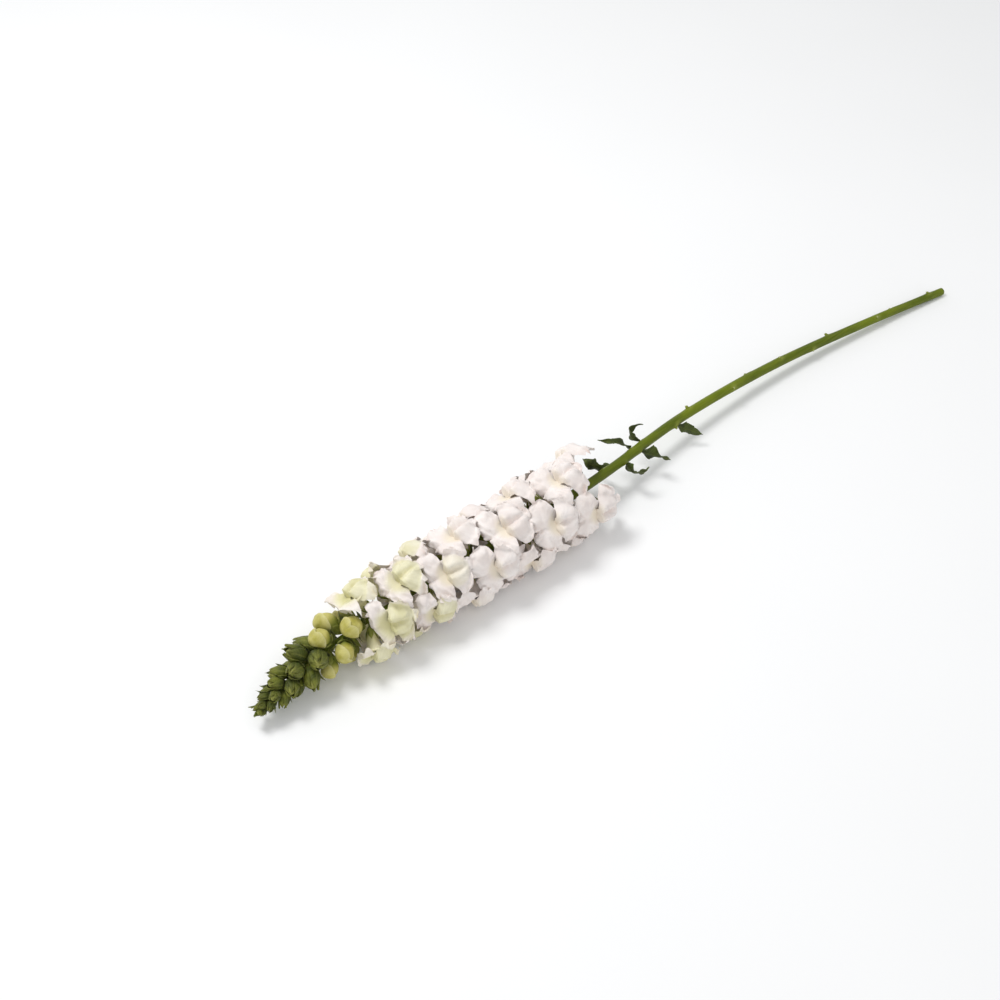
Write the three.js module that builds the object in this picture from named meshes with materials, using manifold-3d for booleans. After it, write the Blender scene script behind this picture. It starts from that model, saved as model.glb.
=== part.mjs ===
// A single cut snapdragon stem, lying on its side on a flat surface.
// One green stem carries leaf scars, a few small leaves and, over its last 330 mm, a raceme: open
// two-lipped florets, then yellow-green buds, then a tight green tip.
// Millimetres, +Z up. The cut end points to +X and the tip to -X. The origin is the middle of the
// footprint, on the surface that the stem lies on.
//
// Everything is first laid out on a straight stem, where x runs from the cut end to the tip and y
// and z cross it. Each flower is then kept inside its own cell between its neighbours, bent along
// the spine and pressed against the surface.

import * as THREE from "three";
import { mergeVertices } from "three/addons/utils/BufferGeometryUtils.js";
import Module from "manifold-3d";

const wasm = await Module();
wasm.setup();

// ---- Driving dimensions, in millimetres and degrees ----

// Where the stem's centre line runs, from the cut end to the tip.
const spinePoints = [
  [400, 0, 3.45],
  [300, 13, 8],
  [180, 24, 14],
  [60, 23, 21.5],
  [-50, 11, 27.6],
  [-150, 8, 28.9],
  [-255, 12, 27.6],
  [-340, 12, 22.6],
  [-402, 2, 15],
];
const stemRadiusAtCut = 3.6;
const stemRadiusAtRaceme = 4.1;
const stemRadiusAtTip = 0.8;
const stemSides = 9;
const stemSteps = 38;

// Flowers are counted from the lowest one to the tip.
const racemeStart = 474; // distance of the lowest floret from the cut end
const goldenAngle = 137.508; // round the stem, from one flower to the next
const firstFloretAngle = 40;
const openFlorets = 31;
const openStep = [8, 6.6]; // along the stem, from one open floret to the next
const openRoot = 8; // from the stem's centre line to the base of an open floret
const openLean = [11, 26]; // towards the tip, of the lowest and of the highest open floret
const openSize = [1.03, 0.92];
const visibleBuds = 8; // buds whose petals already show
const greenBuds = 24; // buds still shut inside their sepals
const budLength = [22, 5];
const budLean = [22, 66];
const budStep = [4.9, 1.6];
const budRoot = 2.4; // from the stem's surface to the base of the first bud

// The lobes round a floret's mouth: the middle and half the width in degrees from the top of the
// mouth, and how far the tip reaches from the tube's axis.
const lobes = [
  { name: "upper", middle: 38, halfWidth: 38, reach: 30 },
  { name: "side", middle: 127, halfWidth: 29, reach: 27 },
  { name: "lower", middle: 180, halfWidth: 24, reach: 26 },
];
const upperNotch = [20, 14]; // reach between the lobes, at the top and at the corner of the mouth
const lowerNotch = [14, 19]; // and from the corner of the mouth to the lowest lobe
const corollaAngles = [0, 17, 38, 60, 82, 104, 127, 153, 180];
const petalThickness = 1.1;
const tubeBase = { out: 4, radius: 3.5 }; // where the corolla's tube reaches its width

const seatGap = 0.35; // between a piece and what holds it
const neighbourGap = 0.8; // between the cells of two flowers
const cellSoftness = 0.28; // share of a cell, at its edge, in which petals crowd together
const tuckBack = -4; // how far cells slide along the stem behind the petals
const tuckForward = 5; // and in front of them

// Heights below pressFrom are squeezed so that pressDepth below the surface lands on it. It fades
// in along the stem over pressFade, as distances from the cut end.
const pressFrom = 20;
const pressDepth = 8;
const pressFade = [395, 450];

const leafScars = { from: 18, to: 380, step: 25, firstAngle: 70 };

// Leaves left on the stem: distance from the cut end, angle round the stem, length, width, and in
// degrees how far they stand off the stem, how strongly they curl outwards and how far they twist.
const leaves = [
  { at: 355, angle: 200, length: 25, width: 9, stand: 118, curl: 30, twist: 60 },
  { at: 398, angle: 12, length: 30, width: 7, stand: 35, curl: 230, twist: 60 },
  { at: 406, angle: 188, length: 25, width: 12, stand: 112, curl: 12, twist: -30 },
  { at: 413, angle: 40, length: 30, width: 7, stand: 62, curl: -50, twist: 150 },
  { at: 427, angle: 196, length: 26, width: 10, stand: 48, curl: 150, twist: -50 },
  { at: 438, angle: 318, length: 24, width: 9, stand: 60, curl: 90, twist: 40 },
  { at: 449, angle: 14, length: 20, width: 10, stand: 52, curl: 60, twist: -60 },
];
const leafThickness = 0.9;
const leafSteps = 8;
const leafFold = 0.4; // rise of the edges over the midrib, as a share of half the width
const leafTooth = 0.13; // of half the width

const looks = {
  stem: { colour: 0x6f8a2c, roughness: 0.5 },
  leaf: { colour: 0x3d5a22, roughness: 0.6 },
  oldFloret: { colour: 0xf3efee, roughness: 0.55 },
  youngFloret: { colour: 0xe9edc4, roughness: 0.55 },
  bud: { colour: 0xc9cd72, roughness: 0.5 },
};

// ---- Small helpers ----

const radians = THREE.MathUtils.degToRad;
const { lerp, smoothstep } = THREE.MathUtils;

// A number from -amount to amount that looks random and depends only on the first two arguments.
function spread(index, which, amount) {
  const wave = Math.sin(index * 127.1 + which * 311.7) * 43758.5453;
  return (2 * (wave - Math.floor(wave)) - 1) * amount;
}

// Points round an axis: place receives the cosine, the sine and the number of each one.
function around(count, place) {
  return Array.from({ length: count }, (_, i) => {
    const turn = (2 * Math.PI * i) / count;
    return place(Math.cos(turn), Math.sin(turn), i);
  });
}

// A solid through rings of points, each with the same number of points; the first and the last
// entry are single points. From ring turnAt on, quads are split the other way, so that both faces
// of a thin blade are split alike.
function skin(rings, turnAt = Infinity) {
  const loops = rings.slice(1, -1);
  const count = loops[0].length;
  const points = [rings[0], ...loops.flat(), rings.at(-1)];
  const at = (loop, column) => 1 + loop * count + (column % count);
  const faces = [];
  for (let j = 0; j < count; j++) {
    faces.push(0, at(0, j + 1), at(0, j));
    faces.push(points.length - 1, at(loops.length - 1, j), at(loops.length - 1, j + 1));
  }
  for (let k = 0; k + 1 < loops.length; k++) {
    for (let j = 0; j < count; j++) {
      const [a, b, c, d] = [at(k, j), at(k, j + 1), at(k + 1, j + 1), at(k + 1, j)];
      if (k + 1 < turnAt) faces.push(a, b, c, a, c, d);
      else faces.push(a, b, d, b, c, d);
    }
  }
  return toSolid(points, faces);
}

function toSolid(points, faces) {
  const geometry = new THREE.BufferGeometry().setFromPoints(points).setIndex(faces);
  const merged = mergeVertices(geometry, 1e-3);
  const vertProperties = merged.attributes.position.array;
  const make = (triVerts) =>
    new wasm.Manifold(new wasm.Mesh({ numProp: 3, vertProperties, triVerts }));
  const triVerts = new Uint32Array(merged.index.array);
  const solid = make(triVerts);
  return solid.volume() > 0 ? solid : make(triVerts.toReversed());
}

function toGeometry(solid) {
  const mesh = solid.getMesh();
  const positions = new Float32Array(mesh.vertProperties);
  const geometry = new THREE.BufferGeometry();
  geometry.setAttribute("position", new THREE.BufferAttribute(positions, 3));
  geometry.setIndex(new THREE.BufferAttribute(new Uint32Array(mesh.triVerts), 1));
  const flat = geometry.toNonIndexed();
  flat.computeVertexNormals();
  return flat;
}

// ---- The spine ----

const spineCorners = spinePoints.map((p) => new THREE.Vector3(...p));
const spine = new THREE.CatmullRomCurve3(spineCorners, false, "catmullrom", 0.5);
spine.arcLengthDivisions = 400;
const stemLength = spine.getLength();
const up = new THREE.Vector3(0, 0, 1);

// From the straight stem to the bent one. Beyond the ends it runs on straight.
function bend(point) {
  const share = THREE.MathUtils.clamp(point.x / stemLength, 0, 1);
  const along = spine.getTangentAt(share);
  const side = new THREE.Vector3().crossVectors(along, up).normalize();
  const above = new THREE.Vector3().crossVectors(side, along);
  return spine
    .getPointAt(share)
    .addScaledVector(along, point.x - share * stemLength)
    .addScaledVector(side, point.y)
    .addScaledVector(above, point.z);
}

function press(point, distance) {
  const depth = pressFrom - point.z;
  if (depth <= 0) return point;
  const squeeze = pressDepth / (pressFrom + pressDepth) ** 2;
  point.z += squeeze * smoothstep(distance, ...pressFade) * depth ** 2;
  return point;
}

const settle = (point) => press(bend(point), point.x);

function stemRadius(distance) {
  if (distance < racemeStart) {
    return lerp(stemRadiusAtCut, stemRadiusAtRaceme, distance / racemeStart);
  }
  const share = (distance - racemeStart) / (stemLength - racemeStart);
  return lerp(stemRadiusAtRaceme, stemRadiusAtTip, share ** 1.3);
}

// A point at a distance from the cut end, at an angle and a radius round the straight stem, and
// moved sideways from there.
function onStem(distance, angle, radius, sideways = 0) {
  const turn = radians(angle);
  return new THREE.Vector3(
    distance,
    Math.cos(turn) * radius - Math.sin(turn) * sideways,
    Math.sin(turn) * radius + Math.cos(turn) * sideways,
  );
}

// ---- The raceme's layout ----

// An open floret: where it leaves the stem, the angle round the stem, the lean towards the tip, the
// roll about its own tube, its size and how far it has opened.
function openFloret(number, distance) {
  const youth = number / (openFlorets - 1);
  return {
    kind: "open",
    distance,
    youth,
    lean: lerp(...openLean, youth ** 1.5) + spread(number, 2, 4),
    roll: spread(number, 3, 7),
    size: lerp(...openSize, youth ** 2) * (1 + spread(number, 4, 0.035)),
    openness: 1 - 0.4 * smoothstep(youth, 0.84, 1.02),
    root: openRoot - 1.5 * youth,
  };
}

// A bud: cover is the share of its length that the sepals hide.
function bud(rank, number, distance) {
  const age = rank / (visibleBuds + greenBuds - 1);
  const length = lerp(...budLength, age ** 1.5);
  return {
    kind: rank < visibleBuds ? "bud" : "green",
    distance,
    age,
    lean: lerp(...budLean, age ** 1.3),
    roll: 0,
    length: length * (1 + spread(number, 5, 0.06)),
    cover: lerp(0.34, 0.48, Math.min(rank / visibleBuds, 1)),
    root: stemRadius(distance) + (budRoot * length) / budLength[0],
  };
}

// The axes of a flower on the straight stem: out along its tube, up towards the tip, and sideways.
function flowerAxes({ angle, lean, roll }) {
  const radial = onStem(0, angle, 1);
  const tipward = new THREE.Vector3(1, 0, 0);
  const [cos, sin] = [Math.cos(radians(lean)), Math.sin(radians(lean))];
  const out = radial.clone().multiplyScalar(cos).addScaledVector(tipward, sin);
  const top = tipward.multiplyScalar(cos).addScaledVector(radial, -sin);
  top.applyAxisAngle(out, radians(roll));
  return { out, top, side: new THREE.Vector3().crossVectors(top, out) };
}

const flowers = [];
for (let i = 0, distance = racemeStart; i < openFlorets + visibleBuds + greenBuds; i++) {
  const rank = i - openFlorets;
  const flower = rank < 0 ? openFloret(i, distance) : bud(rank, i, distance);
  flower.number = i;
  flower.angle = firstFloretAngle + i * goldenAngle + spread(i, 1, 4);
  flower.axes = flowerAxes(flower);
  flowers.push(flower);
  distance += rank < 0 ? lerp(...openStep, flower.youth) : lerp(...budStep, flower.age ** 0.9);
}

// How far the cells slide towards the tip at a distance from the stem's centre line. An upper lip,
// which stands further out, so lies over the lower lobes of the next floret up.
function tuck(radius) {
  const behind = smoothstep(radius, 13, 22);
  const front = smoothstep(radius, 22, 34);
  return tuckBack * behind * (1 - front) + tuckForward * front;
}

// Moves a point of a flower towards its own middle so that it stays nearer to it than to any
// neighbour's middle, measured on the cylinder through the point.
function keepInCell(point, flower) {
  const radius = Math.hypot(point.y, point.z);
  const middle = (f) => f.distance + radius * Math.tan(radians(f.lean)) + tuck(radius);
  const arc = (angle) => radius * Math.atan2(Math.sin(angle), Math.cos(angle));
  const along = point.x - middle(flower);
  const across = arc(Math.atan2(point.z, point.y) - radians(flower.angle));
  const offset = Math.hypot(along, across);
  let room = Infinity;
  for (const other of flowers) {
    if (other === flower) continue;
    const dx = middle(other) - middle(flower);
    const dy = arc(radians(other.angle - flower.angle));
    const facing = dx * along + dy * across;
    if (facing > 0) room = Math.min(room, ((dx * dx + dy * dy) * offset) / (2 * facing));
  }
  const share = offset / (room - neighbourGap / 2);
  const free = 1 - cellSoftness;
  if (share <= free) return point;
  const kept = free + cellSoftness * Math.tanh((share - free) / cellSoftness);
  const scale = kept / share;
  const turned = flower.angle + THREE.MathUtils.radToDeg((across * scale) / radius);
  return onStem(middle(flower) + along * scale, turned, radius);
}

// From a flower's own axes (height towards the tip, width sideways, out along the tube) to where
// the point ends up.
function seat(flower, height, width, out) {
  const { axes, distance, root } = flower;
  const point = new THREE.Vector3(distance, 0, 0)
    .addScaledVector(axes.out, root + out)
    .addScaledVector(axes.top, height)
    .addScaledVector(axes.side, width);
  return settle(keepInCell(point, flower));
}

// ---- An open floret: tube, two-lobed upper lip, domed palate and three lower lobes ----

// How far the rim reaches from the tube's axis, and how much its lobe curls forward there.
function rim(angle, side, flower) {
  const upper = lerp(...upperNotch, angle / 82);
  const notch = angle < 90 ? upper : lerp(...lowerNotch, (angle - 98) / 60);
  const place = lobes.findIndex((l) => Math.abs(angle - l.middle) <= l.halfWidth);
  if (place < 0) return { reach: lerp(8, notch, flower.openness), curl: 0 };
  const lobe = lobes[place];
  const fullness = 1 - ((angle - lobe.middle) / lobe.halfWidth) ** 2;
  const own = flower.number * 10 + place * 2 + (side > 0 && angle < 180 ? 1 : 0);
  const tip = lobe.reach * (1 + spread(own, 6, 0.08));
  const open = lerp(notch, tip, Math.sqrt(fullness));
  return { reach: lerp(8, open, flower.openness), curl: spread(own, 7, 2.6) * fullness };
}

// Points down one meridian of the corolla, from the tube to the rim behind and from the rim to the
// mouth in front, as [distance from the middle, distance out, height of that middle].
function corollaMeridian(angle, side, flower) {
  const { reach, curl } = rim(angle, side, flower);
  const lower = smoothstep(angle, 72, 100);
  const pick = (upperLip, lowerLip) => lerp(upperLip, lowerLip, lower);
  const furrow = 1.6 * smoothstep(angle, 150, 180);
  const shut = 6 * (1 - flower.openness);
  const rimOut = pick(20.6, 15) + shut + curl + spread(flower.number * 31 + angle * side, 8, 0.9);
  return [
    [tubeBase.radius, tubeBase.out, 0],
    [4.9, 13, 0],
    [pick(0.56, 0.6) * reach, pick(22, 17.5) + 0.4 * shut, 0],
    [reach, rimOut, 0],
    [reach, rimOut + petalThickness, 0],
    [pick(0.6, 0.66) * reach, pick(24.2, 24.4), 0.4],
    [pick(5.2, 9.2), pick(24.4, 30 - furrow), 2],
    [pick(2.2, 4.2), pick(23.4, 28.4 - furrow), 3.6],
  ];
}

function corolla(flower) {
  const { size } = flower;
  const left = corollaAngles.map((angle) => [angle, 1]);
  const right = corollaAngles.slice(1, -1).map((angle) => [angle, -1]);
  const meridians = [...left, ...right.reverse()].map(([angle, side]) =>
    corollaMeridian(angle, side, flower).map(([distance, out, middle]) => {
      const height = middle + distance * Math.cos(radians(angle));
      const width = side * distance * Math.sin(radians(angle));
      return seat(flower, height * size, width * size, out * size + seatGap);
    }),
  );
  const rings = meridians[0].map((_, ring) => meridians.map((m) => m[ring]));
  const base = seat(flower, 0, 0, 2 * seatGap);
  const mouth = seat(flower, 4.6 * size, 0, 22 * size);
  return skin([base, ...rings, mouth], 4);
}

// ---- Buds ----

// Half the width of a shut bud, as a share of its greatest, at shares of its length.
const budProfile = [
  [0.2, 0.66],
  [0.48, 1],
  [0.74, 0.98],
  [0.94, 0.55],
];
const budGirth = 0.35; // greatest half-width, as a share of the length

// A shut bud: an egg with a crease down its upper side and a tip that is folded over.
function budPetals(flower) {
  const { length } = flower;
  const fold = (share) => 0.16 * length * Math.max(0, share - 0.5);
  const rings = budProfile.map(([share, width]) =>
    around(8, (cos, sin) => {
      const crease = 0.14 * Math.max(0, cos) * smoothstep(share, 0.5, 0.9);
      const radius = width * (1 - crease) * budGirth * length;
      return seat(flower, cos * radius + fold(share), sin * radius, share * length + seatGap);
    }),
  );
  const base = seat(flower, 0, 0, 2 * seatGap);
  const tip = seat(flower, fold(1), 0, length + seatGap);
  return skin([base, ...rings, tip]);
}

// The cup that the sepals make round the petals: its depth to where the petals reach their width,
// its height to the sepals' tips and to the notches between them, and the petals' radii there.
function sepalCup({ kind, size, length, cover }) {
  if (kind === "open") {
    const height = 6.6 * size;
    const depth = tubeBase.out * size;
    return { depth, height, notch: height, from: tubeBase.radius * size, to: 3.9 * size };
  }
  const depth = budProfile[0][0] * length;
  const height = cover * length;
  const greatest = budGirth * length;
  const notch = lerp(depth, height, 0.25);
  return { depth, height, notch, from: budProfile[0][1] * greatest, to: greatest };
}

// A flower stalk that widens into sepals: five of them round a bud, and a five-sided cup round the
// tube of an open floret.
function stalkAndSepals(flower) {
  const columns = flower.kind === "open" ? 5 : 10;
  const size = Math.min(flower.size ?? flower.length / 15, 1);
  const cup = sepalCup(flower);
  const inner = (out) => {
    const petals = lerp(cup.from, cup.to, (out - cup.depth) / (cup.height - cup.depth));
    return petals / Math.cos(Math.PI / columns) + seatGap;
  };
  const outer = (out) => inner(out) + 0.45 + 0.4 * size;
  const ring = (radiusAt, outOf) =>
    around(columns, (cos, sin, i) => {
      const out = outOf(i);
      return seat(flower, cos * radiusAt(out), sin * radiusAt(out), out);
    });
  const edge = (i) => (i % 2 ? cup.notch : cup.height);
  const stalk = () => Math.max(0.55, 1.15 * size);
  const root = 0.45 * stemRadius(flower.distance) - flower.root;
  const rings = [
    ring(stalk, () => root),
    ring(stalk, () => -1.2 * size),
    ring(outer, () => cup.depth),
    ring(outer, edge),
    ring(inner, edge),
    ring(inner, () => cup.depth),
  ];
  return skin([seat(flower, 0, 0, root - 0.1), ...rings, seat(flower, 0, 0, 0)], 4);
}

// A small bud still shut inside its sepals, with its stalk.
function greenBud(flower) {
  const { length } = flower;
  const root = 0.4 * stemRadius(flower.distance) - flower.root;
  const profile = [
    [0.1, root],
    [0.14, 0],
    [0.34, length * 0.3],
    [0.33, length * 0.68],
    [0.14, length * 0.96],
  ];
  const rings = profile.map(([share, out]) => {
    const radius = Math.max(share * length, 0.42);
    return around(5, (cos, sin) => seat(flower, cos * radius, sin * radius, out));
  });
  return skin([seat(flower, 0, 0, root - 0.1), ...rings, seat(flower, 0, 0, length)]);
}

// ---- The stem ----

function stalk() {
  const rings = Array.from({ length: stemSteps + 1 }, (_, i) => {
    const distance = (stemLength * i) / stemSteps;
    const angleOf = (j) => (360 * (j + 0.5)) / stemSides;
    return around(stemSides, (_cos, _sin, j) =>
      settle(onStem(distance, angleOf(j), stemRadius(distance))),
    );
  });
  return skin([settle(onStem(0, 0, 0)), ...rings, settle(onStem(stemLength + 1.5, 0, 0))]);
}

// The stub that a stripped leaf leaves behind, above a slight swelling of the stem.
function leafScar(distance, angle, height) {
  const radius = stemRadius(distance);
  const ring = (out, shift, halfWidth, halfLength) =>
    around(5, (cos, sin) =>
      settle(onStem(distance + shift + cos * halfLength, angle, out, sin * halfWidth)),
    );
  return skin([
    settle(onStem(distance, angle, radius * 0.5)),
    ring(radius * 0.62, 0, 1.9, 4),
    ring(radius + 0.7, 1, 1.3, 1.8),
    ring(radius + height, 2, 0.7, 0.7),
    settle(onStem(distance + 2.3, angle, radius + height + 0.2)),
  ]);
}

function stemWithStalks() {
  const pieces = [stalk()];
  for (let i = 0, distance = leafScars.from; distance < leafScars.to; i++) {
    const angle = leafScars.firstAngle + i * goldenAngle;
    const facesSurface = Math.sin(radians(angle)) < -0.4;
    if (!facesSurface) pieces.push(leafScar(distance, angle, 2.4 + spread(i, 9, 0.6)));
    distance += leafScars.step * (1 + spread(i, 10, 0.25));
  }
  for (const flower of flowers) {
    pieces.push(flower.kind === "green" ? greenBud(flower) : stalkAndSepals(flower));
  }
  return wasm.Manifold.union(pieces);
}

// ---- Leaves ----

// Where a leaf starts, just off the stem.
const leafFoot = (leaf) => onStem(leaf.at, leaf.angle, stemRadius(leaf.at) + 1.5 * seatGap);

// A narrow leaf folded along its midrib, curling and twisting along its length.
function leafBlade(leaf) {
  const sideways = onStem(0, leaf.angle, 0, 1);
  const middle = leafFoot(leaf);
  const forward = new THREE.Vector3(1, 0, 0).applyAxisAngle(sideways, radians(leaf.stand));
  const upward = onStem(0, leaf.angle, 1).applyAxisAngle(sideways, radians(leaf.stand));
  const across = sideways.clone();
  const loops = [];
  for (let k = 0; k <= leafSteps; k++) {
    const taper = Math.sin(Math.PI * (0.14 + 0.82 * (k / leafSteps) ** 0.8)) ** 0.8;
    const tooth = k % 2 ? leafTooth : -leafTooth;
    const half = (leaf.width / 2) * taper * (1 + tooth);
    const place = (column, rise) =>
      settle(
        middle
          .clone()
          .addScaledVector(across, column * half)
          .addScaledVector(upward, leafFold * half * Math.abs(column) + rise * leafThickness),
      );
    const under = [-1, 0, 1].map((column) => place(column, -0.5));
    const upper = [1, 0, -1].map((column) => place(column, 0.5));
    loops.push([...under, ...upper]);
    middle.addScaledVector(forward, leaf.length / leafSteps);
    for (const axis of [forward, upward]) {
      axis.applyAxisAngle(across, radians(leaf.curl) / leafSteps);
    }
    for (const axis of [across, upward]) {
      axis.applyAxisAngle(forward, radians(leaf.twist) / leafSteps);
    }
  }
  return bladeThrough(loops);
}

// A closed blade through loops of six points: three of its under side, then three of its upper side
// on the way back.
function bladeThrough(loops) {
  const at = (k, j) => k * 6 + (j % 6);
  const faces = [];
  for (let k = 0; k + 1 < loops.length; k++) {
    for (let j = 0; j < 6; j++) {
      const [a, b, c, d] = [at(k, j), at(k, j + 1), at(k + 1, j + 1), at(k + 1, j)];
      if (j < 3) faces.push(a, b, c, a, c, d);
      else faces.push(a, b, d, b, c, d);
    }
  }
  const last = loops.length - 1;
  for (const [a, b, c, d] of [
    [0, 1, 4, 5],
    [1, 2, 3, 4],
  ]) {
    faces.push(at(0, d), at(0, c), at(0, b), at(0, d), at(0, b), at(0, a));
    faces.push(at(last, a), at(last, b), at(last, c), at(last, a), at(last, c), at(last, d));
  }
  return toSolid(loops.flat(), faces);
}

// ---- Assembly ----

const snapdragon = new THREE.Group();

// Adds a piece that is flattened where it meets the surface. Its mesh stands at origin.
function add(name, solid, origin, { colour, roughness }) {
  const geometry = toGeometry(solid.trimByPlane([0, 0, 1], 0));
  geometry.translate(-origin.x, -origin.y, -origin.z);
  const material = new THREE.MeshStandardMaterial({ color: colour, roughness, metalness: 0 });
  const mesh = new THREE.Mesh(geometry, material);
  mesh.name = name;
  mesh.position.copy(origin);
  snapdragon.add(mesh);
}

// Petals are greenish while a floret is young and white later.
function floretLook({ youth }) {
  const young = new THREE.Color(looks.youngFloret.colour);
  const colour = new THREE.Color(looks.oldFloret.colour).lerp(young, smoothstep(youth, 0.5, 1));
  return { ...looks.oldFloret, colour };
}

const numbered = (word, number) => `${word}_${String(number).padStart(2, "0")}`;

add("stem", stemWithStalks(), new THREE.Vector3(), looks.stem);
leaves.forEach((leaf, i) => {
  add(numbered("leaf", i + 1), leafBlade(leaf), settle(leafFoot(leaf)), looks.leaf);
});
for (const flower of flowers) {
  const origin = seat(flower, 0, 0, 0);
  if (flower.kind === "open") {
    add(numbered("floret", flower.number + 1), corolla(flower), origin, floretLook(flower));
  } else if (flower.kind === "bud") {
    const rank = flower.number - openFlorets;
    add(numbered("bud", rank + 1), budPetals(flower), origin, looks.bud);
  }
}

// Puts the origin at the middle of the footprint.
const middle = new THREE.Box3().setFromObject(snapdragon, true).getCenter(new THREE.Vector3());
snapdragon.position.set(-middle.x, -middle.y, 0);

export default snapdragon;
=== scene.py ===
import math
from types import SimpleNamespace

import bpy
import numpy as np
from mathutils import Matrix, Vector


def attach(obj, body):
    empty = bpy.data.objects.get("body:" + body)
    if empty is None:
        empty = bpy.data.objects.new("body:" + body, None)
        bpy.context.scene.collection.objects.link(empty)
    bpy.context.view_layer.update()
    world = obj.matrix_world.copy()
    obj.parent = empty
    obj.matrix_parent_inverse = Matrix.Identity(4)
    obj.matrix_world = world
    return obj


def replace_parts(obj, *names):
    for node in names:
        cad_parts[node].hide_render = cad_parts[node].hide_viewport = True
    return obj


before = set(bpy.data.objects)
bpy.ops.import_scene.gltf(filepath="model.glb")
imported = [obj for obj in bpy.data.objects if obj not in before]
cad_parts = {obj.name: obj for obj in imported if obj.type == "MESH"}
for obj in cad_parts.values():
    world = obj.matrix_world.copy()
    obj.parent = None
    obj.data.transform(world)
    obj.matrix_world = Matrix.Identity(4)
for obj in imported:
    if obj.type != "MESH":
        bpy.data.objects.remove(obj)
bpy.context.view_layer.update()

# ---- Dimensions in millimetres and degrees, the same as the solids' own ----

SPINE_POINTS = np.array([
    [400, 0, 3.45],
    [300, 13, 8],
    [180, 24, 14],
    [60, 23, 21.5],
    [-50, 11, 27.6],
    [-150, 8, 28.9],
    [-255, 12, 27.6],
    [-340, 12, 22.6],
    [-402, 2, 15],
])
FRAME_SHIFT = np.array([1.489, -8.518, 0.0])  # puts the origin at the middle of the footprint
STEM_RADIUS = {"cut": 3.6, "raceme": 4.1, "tip": 0.8}
RACEME_START = 474
GOLDEN_ANGLE = 137.508
FIRST_ANGLE = 40
OPEN_FLORETS = 31
OPEN_STEP = (8, 6.6)
OPEN_ROOT = 8
OPEN_LEAN = (11, 26)
OPEN_SIZE = (1.03, 0.92)
VISIBLE_BUDS = 8
GREEN_BUDS = 24
BUD_LENGTH = (22, 5)
BUD_LEAN = (22, 66)
BUD_STEP = (4.9, 1.6)
BUD_ROOT = 2.4
BUD_PROFILE = [(0, 0), (0.04, 0.3), (0.2, 0.66), (0.48, 1), (0.74, 0.98), (0.94, 0.55), (1, 0)]
BUD_GIRTH = 0.35
TUBE_BASE = SimpleNamespace(out=4, radius=3.5)
SEPALS = 5
SEAT_GAP = 0.35
CELL_GAP = 0.15
CELL_SOFTNESS = 0.28
TUCK = SimpleNamespace(back=-4, forward=5, start=13, turn=22, end=34)
PRESS_FROM, PRESS_DEPTH, PRESS_FADE = 20, 8, (395, 450)
FLOOR_GAP = 0.02
SCARS = SimpleNamespace(start=18, end=380, step=25, first_angle=70, lowest=-0.4)
LEAVES = [  # distance, angle, length, width, stand, curl, twist
    (355, 200, 25, 9, 118, 30, 60),
    (398, 12, 30, 7, 35, 230, 60),
    (406, 188, 25, 12, 112, 12, -30),
    (413, 40, 30, 7, 62, -50, 150),
    (427, 196, 26, 10, 48, 150, -50),
    (438, 318, 24, 9, 60, 90, 40),
    (449, 14, 20, 10, 52, 60, -60),
]
LEAF_FOLD = 0.4

# ---- Dimensions of the finer pieces alone ----

FREE_ROOM = 27  # the widest that a flower without neighbours spreads
CROWDING = SimpleNamespace(share=0.25, most=2.5)  # petals rise by a share of the room they lack
LEAN_BACK = SimpleNamespace(start=38, share=0.55)  # beyond this from the stem's axis
DROOP = SimpleNamespace(start=19.5, share=0.5)  # beyond this from the flower's middle
WHITE_FLORETS = 22  # so many of the lowest florets have lost their green
PETAL_HALF_THICKNESS = 0.27
RIM = SimpleNamespace(ruffle=3.3, fine_ruffle=0.36, roll=1.8, roll_start=0.78)
OPEN_CUP = SimpleNamespace(height=6.6, radius=3.9)
STALK_BULGE = SimpleNamespace(height=0.4, middle=240, half_length=140)
STALK_TIP = SimpleNamespace(beyond=1.4, rounding=3)
STALK_SKIN = 0.985  # the stalk's radius as a share of the solid one, which leaves room for its ribs
LEAF_TEETH = 3.3

# Numbers for the traits that vary from one flower, petal, sepal, leaf or scar to the next. Where a
# trait has several values, such as the waves of a ripple, they take the next numbers too.
TRAIT = SimpleNamespace(
    angle=1, lean=2, roll=3, size=4, length=5, curl=7, stub_height=9, stub_gap=10, dents=13,
    twist=17, outline=20, fine_outline=24, ruffle=28, fine_ruffle=32, rolled_rim=36, tube=48,
    egg=50, hood=54, tilt=58, flare=60, tip=61, sideways=62, turn=63, reach=64, bract_length=65,
    bract_flare=66, bow=67, torn=70, teeth=80,
)


# ---- Small helpers ----

def lerp(a, b, share):
    return a + (b - a) * share


def smoothstep(value, low, high):
    """0 up to low and 1 from high on, smooth between them. low may be the larger one."""
    share = np.clip((value - low) / (high - low), 0, 1)
    return share * share * (3 - 2 * share)


def bell(value, width):
    """1 where the value is 0, and next to nothing at twice the width on either side."""
    return np.exp(-((value / width) ** 2))


def spread(index, trait, amount):
    """A number from -amount to amount that looks random. It depends only on the index of the thing
    that it is for and on the trait that it sets."""
    wave = math.sin(index * 127.1 + trait * 311.7) * 43758.5453
    return (2 * (wave - math.floor(wave)) - 1) * amount


def waves(turn, index, trait, counts):
    """A closed ripple round a full turn in radians, at most about 1 high. It adds up waves, so
    many to the turn, and each further one is lower."""
    lowering = [1 + 0.35 * k for k in range(len(counts))]
    total = sum(
        np.sin(count * turn + spread(index, trait + k, math.pi)) / lowering[k]
        for k, count in enumerate(counts)
    )
    return total / sum(1 / low for low in lowering)


def unit(vectors):
    return vectors / np.linalg.norm(vectors, axis=-1, keepdims=True)


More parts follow.
